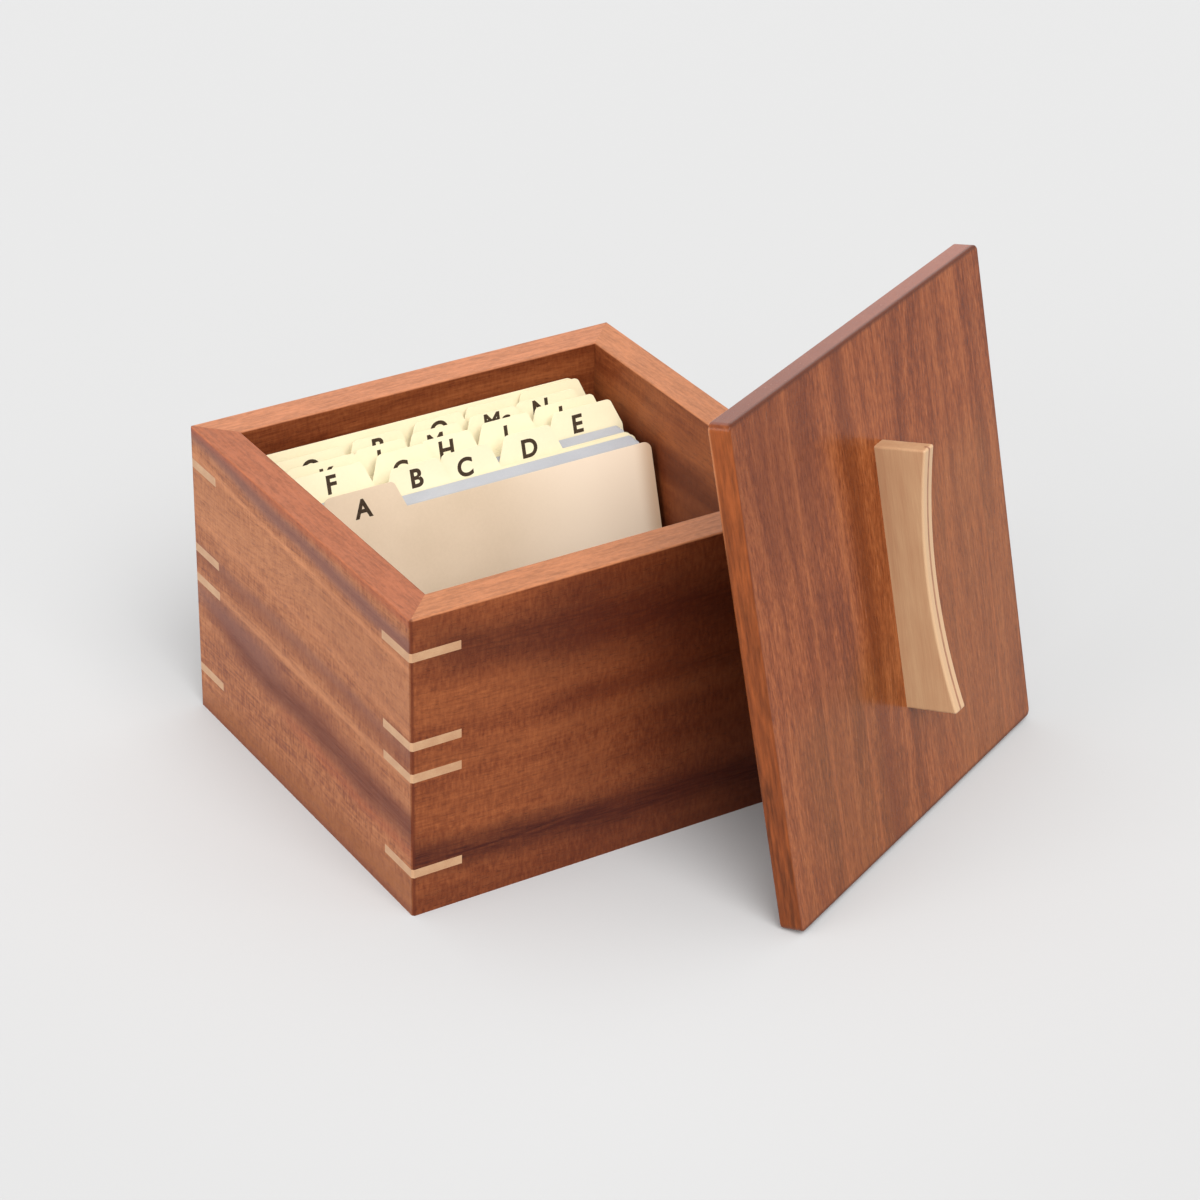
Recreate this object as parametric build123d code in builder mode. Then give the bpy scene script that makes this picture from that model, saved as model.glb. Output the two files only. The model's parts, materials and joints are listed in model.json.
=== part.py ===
from build123d import *
import math
import os

# Index card box in dark red-brown hardwood: mitred walls, pale corner keys, a lift-off lid with a
# curved handle, lettered card guides and blank cards. It stands open, as in the photograph, and its
# lid leans on the front right corner.
# Millimetres. +X runs right along the front wall, +Y to the back, +Z up. The origin is the middle of
# the front wall's bottom edge.

# Cards: 5 by 3 inch sheets. The inside of the box is sized to them.
card_width = 127.0
card_height = 76.2
card_thickness = 0.25
card_air = 0.03
card_stagger = 0.5
side_room = 6.35
head_room = 1.9

# Box
box_depth = 152.4
wall_thickness = 12.7
wall_arris = 0.6
corner_ease = 0.7

# Bottom panel, let into a groove all round
groove_height = 9.5
groove_depth = 6.0
bottom_thickness = 6.35
bottom_end_play = 0.5

# Corner keys: thin triangles glued into slots that cross each mitre
key_thickness = 3.2
key_arm = 18.2
key_heights = [16.1, 52.0, 63.7, 96.0]

# Lid
lid_overhang = 5.1
lid_thickness = 8.0
lid_corner_radius = 2.5
lid_arris = 0.6
insert_thickness = 8.0
insert_play = 0.8
insert_arris = 1.2
insert_corner_radius = 3.0

# Where the lid stands: turned from the front wall, tilted back from upright, and how far right of
# its own middle the box corner touches it
lid_turn = 26.1
lid_tilt = 11.1
lean_offset = 8.1

# Handle, a bar on edge whose outer side dips in a shallow arc, with a dark line let into it. It
# stands a little to the right of the lid's middle and a touch above it.
handle_length = 94.0
handle_thickness = 6.35
handle_height = 18.6
handle_dip = 4.8
handle_offset = 3.0
handle_rise = 0.8
handle_arris = 0.8
line_width = 1.0
line_depth = 2.0

# Countersunk screws that hold the handle from under the lid
screw_spacing = 60.0
screw_length = 25.4
screw_radius = 1.75
screw_head_radius = 3.4
screw_head_depth = 2.0
screw_point = 3.0
screw_sink = 0.4
slot_width = 0.9
slot_depth = 0.9
lid_hole_play = 0.2

# Guides, as large as the cards, each with a tab in one of five places. The tabs in the first and the
# last place run out to the guide's edges.
guide_thickness = 0.3
guide_corner_radius = 3.0
tab_height = 9.5
tab_top_width = 18.0
tab_base_width = 25.6
tab_margin = 4.9
tab_corner_radius = 2.0
tabs_in_row = 5

# How the sheets stand: the front ones lean alike, the rear ones fan up towards the back wall, and
# the plain divider behind them still passes the back wall's top edge when it is drawn out
standing_gap = 0.3
rear_clearance = 0.55
front_lean = 16.5
rear_lean = 12.2
divider_shift = -4.2
guide_pitch = 1.55
close_pitch = 0.65
bundle_gap = 0.5
front_bundle_cards = 22
rear_bundle_cards = 18

# Each guide's name, and how far it has slid to the right, as a share of the room at its side
guides = {
    "a": 0.68,
    "b": 0.46,
    "c": 0.0,
    "d": 0.4,
    "e": 0.49,
    "f": 0.25,
    "g": 0.59,
    "h": -0.15,
    "i": 0.04,
    "j": -0.09,
    "k": 0.37,
    "l": -0.22,
    "m": -0.31,
    "mc": -0.21,
    "n": -0.75,
    "o": -0.02,
    "p": 0.09,
    "q": 0.36,
    "r": 0.1,
    "s": 0.04,
}

os.makedirs("parts", exist_ok=True)

inner_length = card_width + 2 * side_room
inner_depth = box_depth - 2 * wall_thickness
floor_height = groove_height + bottom_thickness
box_length = inner_length + 2 * wall_thickness
rear_angle = math.radians(rear_lean)
leaning_height = (card_height + tab_height) * math.cos(rear_angle)
box_height = floor_height + leaning_height + insert_thickness + head_room
right_side = box_length / 2


def corner_key_outline(corner_x, corner_y):
    """Draw one key's triangle, its sharp corner eased like the box's, in the sketch in hand."""
    inwards_x = -math.copysign(1, corner_x)
    inwards_y = 1 if corner_y == 0 else -1
    Polygon(
        (corner_x + inwards_x * corner_ease, corner_y),
        (corner_x + inwards_x * key_arm, corner_y),
        (corner_x, corner_y + inwards_y * key_arm),
        (corner_x, corner_y + inwards_y * corner_ease),
        align=None,
    )


def wall(start, inwards, along, length):
    """One wall: its grooved section run from corner to corner, then mitred, eased and slotted.
    Its top edges are rounded and its bottom edges left crisp, as they stand on the table.
    start is its outer bottom corner, inwards points into the box and along runs down its length."""
    start, inwards, along = Vector(start), Vector(inwards), Vector(along)
    with BuildPart() as piece:
        with BuildSketch(Plane(origin=start, x_dir=inwards, z_dir=along)) as section:
            with Locations((wall_thickness / 2, box_height / 2)):
                Rectangle(wall_thickness, box_height)
            fillet(section.vertices().group_by(Axis.Y)[-1], radius=wall_arris)
            with Locations((wall_thickness - groove_depth / 2, groove_height + bottom_thickness / 2)):
                Rectangle(groove_depth, bottom_thickness, mode=Mode.SUBTRACT)
        extrude(amount=length)
        with BuildSketch():
            ease = corner_ease
            outline = [
                start + along * ease,
                start + along * (length - ease),
                start + along * (length - ease / 2) + inwards * (ease / 2),
                start + along * (length - wall_thickness) + inwards * wall_thickness,
                start + along * wall_thickness + inwards * wall_thickness,
                start + along * (ease / 2) + inwards * (ease / 2),
            ]
            with BuildLine():
                Polyline(*outline, close=True)
            make_face()
        extrude(amount=box_height, mode=Mode.INTERSECT)
        for height in key_heights:
            with BuildSketch(Plane.XY.offset(height - key_thickness / 2)):
                for end in (start, start + along * length):
                    corner_key_outline(end.X, end.Y)
            extrude(amount=key_thickness, mode=Mode.SUBTRACT)
    return piece.part


front_wall = wall((-right_side, 0, 0), (0, 1, 0), (1, 0, 0), box_length)
front_wall.label = "front_wall"
export_step(front_wall, "parts/front_wall.step")

right_wall = wall((right_side, 0, 0), (-1, 0, 0), (0, 1, 0), box_depth)
right_wall.label = "right_wall"
export_step(right_wall, "parts/right_wall.step")

back_wall = wall((right_side, box_depth, 0), (0, -1, 0), (-1, 0, 0), box_length)
back_wall.label = "back_wall"
export_step(back_wall, "parts/back_wall.step")

left_wall = wall((-right_side, box_depth, 0), (1, 0, 0), (0, -1, 0), box_depth)
left_wall.label = "left_wall"
export_step(left_wall, "parts/left_wall.step")

# Bottom panel, a little short of the groove's bottom so that it can swell. The key slots are sawn
# once the box is glued up, so the lowest ones nick its corners.
key_corners = {
    "front_left_keys": (-right_side, 0),
    "front_right_keys": (right_side, 0),
    "back_left_keys": (-right_side, box_depth),
    "back_right_keys": (right_side, box_depth),
}
with BuildPart() as bottom_panel:
    with BuildSketch(Plane((0, box_depth / 2, groove_height))):
        tongue = groove_depth - bottom_end_play
        Rectangle(inner_length + 2 * tongue, inner_depth + 2 * tongue)
    extrude(amount=bottom_thickness)
    for height in key_heights:
        with BuildSketch(Plane.XY.offset(height - key_thickness / 2)):
            for corner_x, corner_y in key_corners.values():
                corner_key_outline(corner_x, corner_y)
        extrude(amount=key_thickness, mode=Mode.SUBTRACT)
bottom_panel.part.label = "bottom_panel"
export_step(bottom_panel.part, "parts/bottom_panel.step")

# Corner keys, four to a corner
for name, (corner_x, corner_y) in key_corners.items():
    with BuildPart() as corner_keys:
        for height in key_heights:
            with BuildSketch(Plane.XY.offset(height - key_thickness / 2)):
                corner_key_outline(corner_x, corner_y)
            extrude(amount=key_thickness)
    corner_keys.part.label = name
    export_step(corner_keys.part, f"parts/{name}.step")

# The leaning lid's own directions: across it, up along it and out of its face. Its lower back edge
# stands on the table and its insert's face passes through the box corner's sharp point, so that the
# eased corner stays just clear of it.
turn, tilt = math.radians(lid_turn), math.radians(lid_tilt)
lid_across = Vector(math.cos(turn), math.sin(turn), 0)
lid_out = Vector(
    math.sin(turn) * math.cos(tilt),
    -math.cos(turn) * math.cos(tilt),
    math.sin(tilt),
)
lid_up = lid_out.cross(lid_across)
lid_length = box_length + 2 * lid_overhang
lid_width = box_depth + 2 * lid_overhang
edge_below_table = lid_arris * (math.cos(tilt) + math.sin(tilt) - 1)
reach_up = (box_height + edge_below_table + insert_thickness * math.sin(tilt)) / math.cos(tilt)
lean_corner = Vector(right_side, 0, box_height)
lid_middle = (
    lean_corner
    + lid_out * insert_thickness
    - lid_up * (reach_up - lid_length / 2)
    - lid_across * lean_offset
)
lid_underside = Plane(lid_middle, x_dir=lid_across, z_dir=lid_out)
insert_face = lid_underside.offset(-insert_thickness)
outwards = Axis(lid_middle, lid_out)
handle_middle = lid_middle + lid_across * handle_offset + lid_up * handle_rise
handle_underside = Plane(handle_middle, x_dir=lid_across, z_dir=lid_out)
screw_seat = handle_underside.offset(screw_sink - insert_thickness).origin

# Handle screws, with their slotted heads a little below the insert's face
with BuildPart() as handle_screws:
    for side in (-1, 1):
        foot = screw_seat + lid_up * (side * screw_spacing / 2)
        with BuildSketch(Plane(foot, x_dir=lid_across, z_dir=-lid_up)):
            with BuildLine():
                Polyline(
                    (0, 0),
                    (screw_head_radius, 0),
                    (screw_radius, screw_head_depth),
                    (screw_radius, screw_length - screw_point),
                    (0, screw_length),
                    close=True,
                )
            make_face()
        revolve(axis=Axis(foot, lid_out))
        with BuildSketch(Plane(foot, x_dir=lid_across, z_dir=lid_out)):
            Rectangle(2 * screw_head_radius + slot_width, slot_width)
        extrude(amount=slot_depth, mode=Mode.SUBTRACT)
handle_screws.part.label = "handle_screws"
export_step(handle_screws.part, "parts/handle_screws.step")

# Lid panel
with BuildPart() as lid_panel:
    with BuildSketch(lid_underside):
        RectangleRounded(lid_width, lid_length, lid_corner_radius)
    extrude(amount=lid_thickness)
    outer_edges = lid_panel.faces().sort_by(outwards)[-1].edges()
    under_edges = lid_panel.faces().sort_by(outwards)[0].edges()
    fillet(outer_edges + under_edges, radius=lid_arris)
    with BuildSketch(handle_underside):
        with GridLocations(0, screw_spacing, 1, 2):
            Circle(screw_radius + lid_hole_play)
    extrude(amount=lid_thickness, mode=Mode.SUBTRACT)
lid_panel.part.label = "lid_panel"
export_step(lid_panel.part, "parts/lid_panel.step")

# Insert, glued under the lid, that drops inside the walls and keeps the lid in place
with BuildPart() as lid_insert:
    with BuildSketch(insert_face):
        RectangleRounded(inner_depth - 2 * insert_play, inner_length - 2 * insert_play, insert_corner_radius)
    extrude(amount=insert_thickness)
    fillet(lid_insert.faces().sort_by(outwards)[0].edges(), radius=insert_arris)
    with BuildSketch(handle_underside.offset(-insert_thickness)):
        with GridLocations(0, screw_spacing, 1, 2):
            Circle(screw_head_radius)
    extrude(amount=screw_sink, mode=Mode.SUBTRACT)
    with BuildSketch(handle_underside.offset(-insert_thickness)):
        with GridLocations(0, screw_spacing, 1, 2):
            Circle(screw_radius + lid_hole_play)
    extrude(amount=insert_thickness, mode=Mode.SUBTRACT)
    for side in (-1, 1):
        foot = screw_seat + lid_up * (side * screw_spacing / 2)
        with BuildSketch(Plane(foot, x_dir=lid_across, z_dir=-lid_up)):
            Polygon(
                (0, 0),
                (screw_head_radius, 0),
                (screw_radius, screw_head_depth),
                (0, screw_head_depth),
                align=None,
            )
        revolve(axis=Axis(foot, lid_out), mode=Mode.SUBTRACT)
lid_insert.part.label = "lid_insert"
export_step(lid_insert.part, "parts/lid_insert.step")

# The handle's side view is drawn on a plane that holds the lid's length and its outward direction.
handle_side = Plane(handle_underside.offset(lid_thickness).origin, x_dir=lid_up, z_dir=lid_across)
half_handle = handle_length / 2


def handle_bar():
    """The whole bar, before the line is let into it and its screw holes are drilled."""
    with BuildPart() as bar:
        with BuildSketch(handle_side):
            with BuildLine():
                Polyline(
                    (-half_handle, handle_height),
                    (-half_handle, 0),
                    (half_handle, 0),
                    (half_handle, handle_height),
                )
                ThreePointArc(
                    (-half_handle, handle_height),
                    (0, handle_height - handle_dip),
                    (half_handle, handle_height),
                )
            make_face()
        extrude(amount=handle_thickness / 2, both=True)
        seat = bar.faces().sort_by(outwards)[0]
        fillet(bar.edges() - seat.edges(), radius=handle_arris)
    return bar.part


# Dark line, a thin strip that follows the handle's hollow side
with BuildPart() as handle_line:
    with BuildSketch(handle_side):
        with BuildLine():
            ThreePointArc(
                (-half_handle, handle_height),
                (0, handle_height - handle_dip),
                (half_handle, handle_height),
            )
            Line((half_handle, handle_height), (half_handle, handle_height - line_depth))
            ThreePointArc(
                (half_handle, handle_height - line_depth),
                (0, handle_height - handle_dip - line_depth),
                (-half_handle, handle_height - line_depth),
            )
            Line((-half_handle, handle_height - line_depth), (-half_handle, handle_height))
        make_face()
    extrude(amount=line_width / 2, both=True)
    add(handle_bar(), mode=Mode.INTERSECT)
handle_line.part.label = "handle_line"
export_step(handle_line.part, "parts/handle_line.step")

with BuildPart() as handle:
    add(handle_bar())
    add(handle_line.part, mode=Mode.SUBTRACT)
    add(handle_screws.part, mode=Mode.SUBTRACT)
handle.part.label = "handle"
export_step(handle.part, "parts/handle.step")


tab_pitch = (card_width - tab_base_width - 2 * tab_margin) / (tabs_in_row - 1)


def sheet_plane(foot, lean, shift, thickness):
    """The front face of a sheet that stands on the bottom panel and leans back from its foot."""
    leaning = math.radians(lean)
    standing = floor_height + standing_gap + thickness * math.sin(leaning)
    return Plane(
        (shift, foot, standing),
        x_dir=(1, 0, 0),
        z_dir=(0, -math.cos(leaning), math.sin(leaning)),
    )


def guide(foot, lean, shift, place):
    """A card guide: a sheet with rounded top corners and one sloping-sided tab along its top."""
    tab_middle = (place - (tabs_in_row - 1) / 2) * tab_pitch
    body_top, tab_top = card_height, card_height + tab_height
    right_side = [
        (card_width / 2, body_top),
        (tab_middle + tab_base_width / 2, body_top),
        (tab_middle + tab_top_width / 2, tab_top),
    ]
    left_side = [
        (tab_middle - tab_top_width / 2, tab_top),
        (tab_middle - tab_base_width / 2, body_top),
        (-card_width / 2, body_top),
    ]
    if place == 0:
        left_side = [(-card_width / 2, tab_top)]
    if place == tabs_in_row - 1:
        slope = (tab_base_width - tab_top_width) / 2
        right_side = [(card_width / 2, body_top), (card_width / 2 - slope, tab_top)]
    with BuildPart() as sheet:
        with BuildSketch(sheet_plane(foot, lean, shift, guide_thickness)) as outline:
            with BuildLine():
                Polyline(
                    (-card_width / 2, 0), (card_width / 2, 0), *right_side, *left_side, close=True
                )
            make_face()
            tab_corners = outline.vertices().group_by(Axis.Y)[-1].sort_by(Axis.X)
            fillet(tab_corners[-1:] if place == 0 else tab_corners, radius=tab_corner_radius)
            columns = outline.vertices().group_by(Axis.X)
            outer_corners = columns[0].sort_by(Axis.Y)[-1:] + columns[-1].sort_by(Axis.Y)[-1:]
            fillet(outer_corners, radius=guide_corner_radius)
        extrude(amount=-guide_thickness)
    return sheet.part


def card_bundle(first_foot, lean, cards):
    """A bundle of blank cards that lean together, each a little off to one side of the last."""
    step = (card_thickness + card_air) / math.cos(math.radians(lean))
    with BuildPart() as bundle:
        for index in range(cards):
            aside = card_stagger * math.sin(2.4 * index)
            with BuildSketch(sheet_plane(first_foot + index * step, lean, aside, card_thickness)):
                with Locations((0, card_height / 2)):
                    Rectangle(card_width, card_height)
            extrude(amount=-card_thickness)
    return bundle.part


def bundle_room(lean, cards):
    """How far back the next guide's foot is from that of the guide in front of a bundle."""
    solid = guide_thickness + cards * (card_thickness + card_air)
    return 2 * bundle_gap + solid / math.cos(math.radians(lean))


# Where each sheet's foot stands, counted back from the front guide's: a guide, a bundle of cards,
# three guides, of which the first two stand close together, a second bundle, all the other guides
# and the divider.
names = list(guides)
front_guides, rear_guides = names[:4], names[4:]
first_of_trio = bundle_room(front_lean, front_bundle_cards)
last_of_trio = first_of_trio + close_pitch + guide_pitch
first_of_rear = last_of_trio + bundle_room(front_lean, rear_bundle_cards)
feet = {
    front_guides[0]: 0.0,
    front_guides[1]: first_of_trio,
    front_guides[2]: first_of_trio + close_pitch,
    front_guides[3]: last_of_trio,
}
for index, name in enumerate(rear_guides):
    feet[name] = first_of_rear + index * guide_pitch
behind_guides = feet[names[-1]] + guide_pitch

# The divider sets the front guide's place: leaning back, it has to pass the back wall's top edge.
rear_reach = (box_height - floor_height) * math.tan(rear_angle) + guide_thickness / math.cos(rear_angle)
divider_foot = box_depth - wall_thickness - rear_clearance - rear_reach
front_foot = divider_foot - behind_guides

for index, name in enumerate(names):
    rank = max(0, index - len(front_guides)) / (len(rear_guides) - 1)
    lean = front_lean + (rear_lean - front_lean) * rank
    shift = guides[name] * side_room
    card_guide = guide(front_foot + feet[name], lean, shift, index % tabs_in_row)
    card_guide.label = f"guide_{name}"
    export_step(card_guide, f"parts/guide_{name}.step")

# Plain divider behind all the guides, as tall as they are with their tabs
with BuildPart() as rear_divider:
    with BuildSketch(sheet_plane(divider_foot, rear_lean, divider_shift, guide_thickness)) as outline:
        with Locations((0, (card_height + tab_height) / 2)):
            Rectangle(card_width, card_height + tab_height)
        fillet(outline.vertices().group_by(Axis.Y)[-1], radius=guide_corner_radius)
    extrude(amount=-guide_thickness)
rear_divider.part.label = "rear_divider"
export_step(rear_divider.part, "parts/rear_divider.step")

after_guide = front_foot + guide_thickness / math.cos(math.radians(front_lean)) + bundle_gap
front_cards = card_bundle(after_guide + feet[front_guides[0]], front_lean, front_bundle_cards)
front_cards.label = "front_cards"
export_step(front_cards, "parts/front_cards.step")

rear_cards = card_bundle(after_guide + feet[front_guides[-1]], front_lean, rear_bundle_cards)
rear_cards.label = "rear_cards"
export_step(rear_cards, "parts/rear_cards.step")
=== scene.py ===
"""Finishes and stage for a hardwood index card box that stands open beside its leaning lid."""

import json
import math
from collections import namedtuple

import bmesh
import bpy
from bpy.props import FloatProperty, FloatVectorProperty, IntProperty, PointerProperty
from bpy.types import Operator, Panel, PropertyGroup
from mathutils import Euler, Matrix, Vector


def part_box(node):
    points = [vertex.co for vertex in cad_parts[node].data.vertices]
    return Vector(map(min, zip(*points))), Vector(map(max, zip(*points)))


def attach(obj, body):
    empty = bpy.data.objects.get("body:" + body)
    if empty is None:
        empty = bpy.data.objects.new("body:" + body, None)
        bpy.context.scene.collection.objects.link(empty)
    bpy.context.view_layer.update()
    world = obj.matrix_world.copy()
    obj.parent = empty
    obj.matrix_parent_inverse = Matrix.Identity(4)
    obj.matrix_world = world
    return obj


bl_info = {
    "name": "Index card box",
    "version": (1, 0, 0),
    "blender": (4, 5, 0),
    "location": "3D View > Sidebar > Card Box",
    "description": "Wood, card and lettering for an index card box with a loose lid",
    "category": "Object",
}

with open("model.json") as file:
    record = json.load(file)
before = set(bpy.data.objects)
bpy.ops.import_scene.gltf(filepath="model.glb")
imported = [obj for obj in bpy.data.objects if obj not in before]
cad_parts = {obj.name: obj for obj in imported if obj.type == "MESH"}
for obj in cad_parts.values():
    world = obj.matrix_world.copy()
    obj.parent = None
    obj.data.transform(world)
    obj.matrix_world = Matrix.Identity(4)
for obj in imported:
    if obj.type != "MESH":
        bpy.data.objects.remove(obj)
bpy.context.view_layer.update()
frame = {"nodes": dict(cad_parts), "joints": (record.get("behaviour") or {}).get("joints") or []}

MM = 0.001
GUIDES = sorted(node for node in frame["nodes"] if node.startswith("guide_"))
BUNDLES = ("front_cards", "rear_cards")
TABS_IN_ROW = 5

# Each corner's keys, and how many degrees their grain is turned from the front wall's
KEYS = {
    "front_left_keys": -45,
    "front_right_keys": 45,
    "back_left_keys": 45,
    "back_right_keys": -45,
}

# How far some letters stand off their usual place on the tab, in millimetres to the right and up
NUDGES = {
    "a": (-0.5, -1.3),
    "c": (-1.0, -1.0),
    "d": (0, -1.1),
    "e": (0, -0.6),
    "g": (-1.1, -2.0),
    "h": (-0.5, 0.2),
    "i": (-0.4, -0.8),
    "j": (0, -0.8),
    "k": (1.0, -0.7),
    "l": (0.7, 0),
    "m": (-0.5, 0),
    "mc": (1.4, 1.3),
    "n": (0, 1.1),
    "p": (0, 0.8),
}

# Font size for each unit of a capital's height, how many steps a letter's curves are drawn in, and
# how near two of its corners are to count as one, in metres
FONT_SIZE = 1.37
CURVE_STEPS = 6
MERGE_DISTANCE = 1e-6

# The camera's sensor in millimetres, and how far it sees in metres
SENSOR_WIDTH = 36
VIEW_END = 100

# Blender's noise keeps mostly to the middle of its range, which is stretched to the whole of it
NOISE_RANGE = (0.3, 0.7)

# How far a pattern is moved along each direction for each step of its seed
SEED_STEPS = (1.0, 1.7, 2.3)

# How far the grain wanders to either side of a straight line, in millimetres
GRAIN_WANDER = 4

# A line of colour that runs along a board: its height at either end of the board, how far it
# reaches to either side, its colour, how much of it shows, and the stretch of the board it is on,
# where it comes and goes over STREAK_FADE. All lengths are in millimetres.
Streak = namedtuple("Streak", "start end reach shade strength first last", defaults=(-40, 400))
STREAK_FADE = 30

# The lid is measured from its middle. Its thin lines begin below its foot, and a line that slopes
# comes to its second height LID_RUN above the middle.
LID_START = -120
LID_RUN = 200

# Where the painted highlight on the lid's rear arris begins and is brightest, in millimetres above its
# middle
HIGHLIGHT_STRETCH = (35, 70)

# Where the painted light on the first guide's card begins and where it is strongest, in millimetres to
# the right of the box's middle line, and how wide the painted shade along its right edge is
PAINTED_LIGHT_STRETCH = (-5, 45)
SHADED_EDGE_WIDTH = 8

# How strongly a board's figure shows: drifting ribbons, patches, long fibres and short fleck, and how
# many flecks there are in a millimetre along each of the board's directions
Figure = namedtuple(
    "Figure", "ribbon patch fibre fleck fleck_repeats", defaults=(0.3, 0.25, 0.3, 0.2, (0.95, 0.3, 0.3))
)
FIGURES = {
    "front_wall": Figure(0.15, 0.2, 0.25, 0.36),
    "left_wall": Figure(0.2, 0.1, 0.55, 0.5),
    "lid_panel": Figure(0.52, 0.12, 0.5, 0.5, (0.3, 1.1, 1.1)),
}

# A board's place: the corner or middle that its grain is measured from, and its turn. Its own X runs
# along the grain, Y across it and Z out of its face.
Board = namedtuple("Board", "origin turn")
UNTURNED = (0, 0, 0)
WHOLE_OBJECT = Board((0, 0, 0), UNTURNED)

# How dark the keys are beside the handle, which is of the same wood
KEY_SHADE = 0.92

# The handle's hollow side, in millimetres above the middle of the lid's panel: its lowest place, and
# what the square of a distance along the handle from there is multiplied by to give its rise
HOLLOW_LOWEST = 17.8
HOLLOW_RISE = 0.00217


def linear(part):
    """One part of a screen colour as the light that it stands for, by the sRGB curve."""
    if part <= 0.04045:
        return part / 12.92
    return ((part + 0.055) / 1.055) ** 2.4


def tone(code):
    """A colour written as six hexadecimal digits, in the linear values that Blender works in."""
    return tuple(linear(int(code[start : start + 2], 16) / 255) for start in (0, 2, 4))


def dimmed(shade, amount):
    """A colour made darker, or lighter where the amount is over 1."""
    return tuple(amount * part for part in shade)


def colour(label, about, code):
    """A colour that the user can change."""
    return FloatVectorProperty(
        name=label, description=about, default=tone(code), subtype="COLOR", min=0, max=1
    )


def point(label, about, metres):
    """A point that the user can change."""
    return FloatVectorProperty(
        name=label, description=about, default=metres, subtype="TRANSLATION", unit="LENGTH"
    )


def length(label, about, millimetres):
    """A length that the user can change."""
    return FloatProperty(
        name=label, description=about, default=millimetres * MM, unit="LENGTH", precision=5
    )


def turn(label, about, degrees):
    """An angle that the user can change."""
    return FloatProperty(
        name=label, description=about, default=math.radians(degrees), subtype="ANGLE"
    )


def number(label, about, value, top=1.0):
    """A plain number that the user can change."""
    return FloatProperty(name=label, description=about, default=value, min=0, max=top)


class StageSettings(PropertyGroup):
    """The floor, the light and the camera."""

    camera_place: point("Camera place", "Where the camera stands", (-0.55202, -0.85702, 0.67346))
    camera_tilt: turn("Camera tilt", "How far the camera looks up from straight down", 60.354)
    camera_heading: turn("Camera heading", "How far the camera turns from +Y, to the left", -32.13)
    camera_roll: turn("Camera roll", "How far the camera is rolled", 1.06)
    camera_lens: number("Camera lens", "Focal length in millimetres on a 36 mm sensor", 110.28, 500)
    floor_tone: colour("Floor", "Colour of the pale floor", "afafaf")
    # A pool of painted light on the floor around the box, lifting the shade near it
    floor_painted_light: colour("Floor, pale", "Its colour around the box", "b6b6b6")
    floor_size: length("Floor size", "Side of the square floor", 12000)
    painted_light_middle: point("Paler floor's middle", "Point that the paler floor lies round", (0.03, 0.05, 0))
    painted_light_reach: length("Paler floor", "How far from that point the floor is at its palest", 90)
    painted_light_end: length("Paler floor's end", "Where the floor has its usual colour again", 330)
    sky_strength: number("Sky strength", "Brightness of the even light all round", 1.1, 5)
    key_strength: number("Key light", "Strength of the soft light from the front", 2.75, 20)
    key_height: turn("Key height", "Height of the key light above the horizon", 48)
    key_heading: turn("Key heading", "Side that it comes from, from -X towards -Y", 80)
    side_strength: number("Side light", "Strength of the low soft light from the left", 1.4, 20)
    side_height: turn("Side height", "Height of the side light above the horizon", 22)
    side_heading: turn("Side heading", "Side that it comes from, from -X towards -Y", 5)
    softness: turn("Softness", "Apparent size of both lights", 42)


class WoodSettings(PropertyGroup):
    """The colours and the gloss of the woods, and the colours of the screws."""

    wall_deep: colour("Wall, deep", "The walls' dark streaks", "3e160d")
    wall_dark: colour("Wall, dark", "Darkest lines of the walls' grain", "4e1f0e")
    wall_middle: colour("Wall, middle", "Middle of the walls' grain", "74391d")
    wall_light: colour("Wall, light", "Lightest lines of the walls' grain", "93542f")
    side_dark: colour("Side, dark", "Darkest lines of the left wall's grain", "683422")
    side_middle: colour("Side, middle", "Middle of the left wall's grain", "925734")
    side_light: colour("Side, light", "Lightest lines of the left wall's grain", "a8704c")
    side_grey: colour("Side, grey", "Purplish streaks of the left wall", "765148")
    side_red: colour("Side, red", "Orange-red streaks of the left wall", "93452a")
    # Light lines on the left wall, and the painted highlight on the lid's rear arris
    pale_lines_and_highlight: colour("Side, pale", "Thin light lines of the left wall and the lid's rim", "bf8057")
    side_brown: colour("Side, brown", "Browner wood near the left wall's foot", "7e4825")
    rim: colour("Rim", "Paler wood along the top edges", "a26846")
    rim_left: colour("Left rim", "Redder wood along the left wall's top edge", "925539")
    rim_back: colour("Back rim", "Paler wood along the back wall's top edge", "a76c4c")
    lid_dark: colour("Lid, dark", "Darkest lines of the lid's grain", "5c280f")
    lid_middle: colour("Lid, middle", "Middle of the lid's grain", "793b1a")
    lid_light: colour("Lid, light", "Lightest lines of the lid's grain", "94532c")
    lid_pale: colour("Lid, pale", "Greyer wood in the lid's right half", "8b5935")
    lid_brown: colour("Lid, brown", "Browner wood low on the lid", "744c26")
    lid_edge: colour("Lid's edge", "Warmer wood on the lid's upright edges", "7e401c")
    lid_top: colour("Lid's top edge", "Greyer end grain along the lid's top edge", "7d4e41")
    maple_dark: colour("Pale wood, dark", "Darker lines of the keys' and the handle's grain", "a67a5a")
    maple_light: colour("Pale wood, light", "Light part of the keys' and the handle's grain", "bb9672")
    # Paler wood on the hollow side, which also paints a highlight along its eased edges
    handle_outer_and_highlight: colour("Handle, outer", "Paler wood on the handle's hollow side", "b99875")
    line: colour("Line", "Dark line along the handle", "a06f50")
    brass: colour("Brass", "Bright part of the screws", "d9b871")
    brass_dull: colour("Brass, dull", "Tarnished part of the screws", "a98242")
    lid_gloss: number("Lid gloss", "Reflectance of the lid's polished face", 0.2)
    pale_gloss: number("Pale wood gloss", "Reflectance of the keys and the handle", 0.3)


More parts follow.
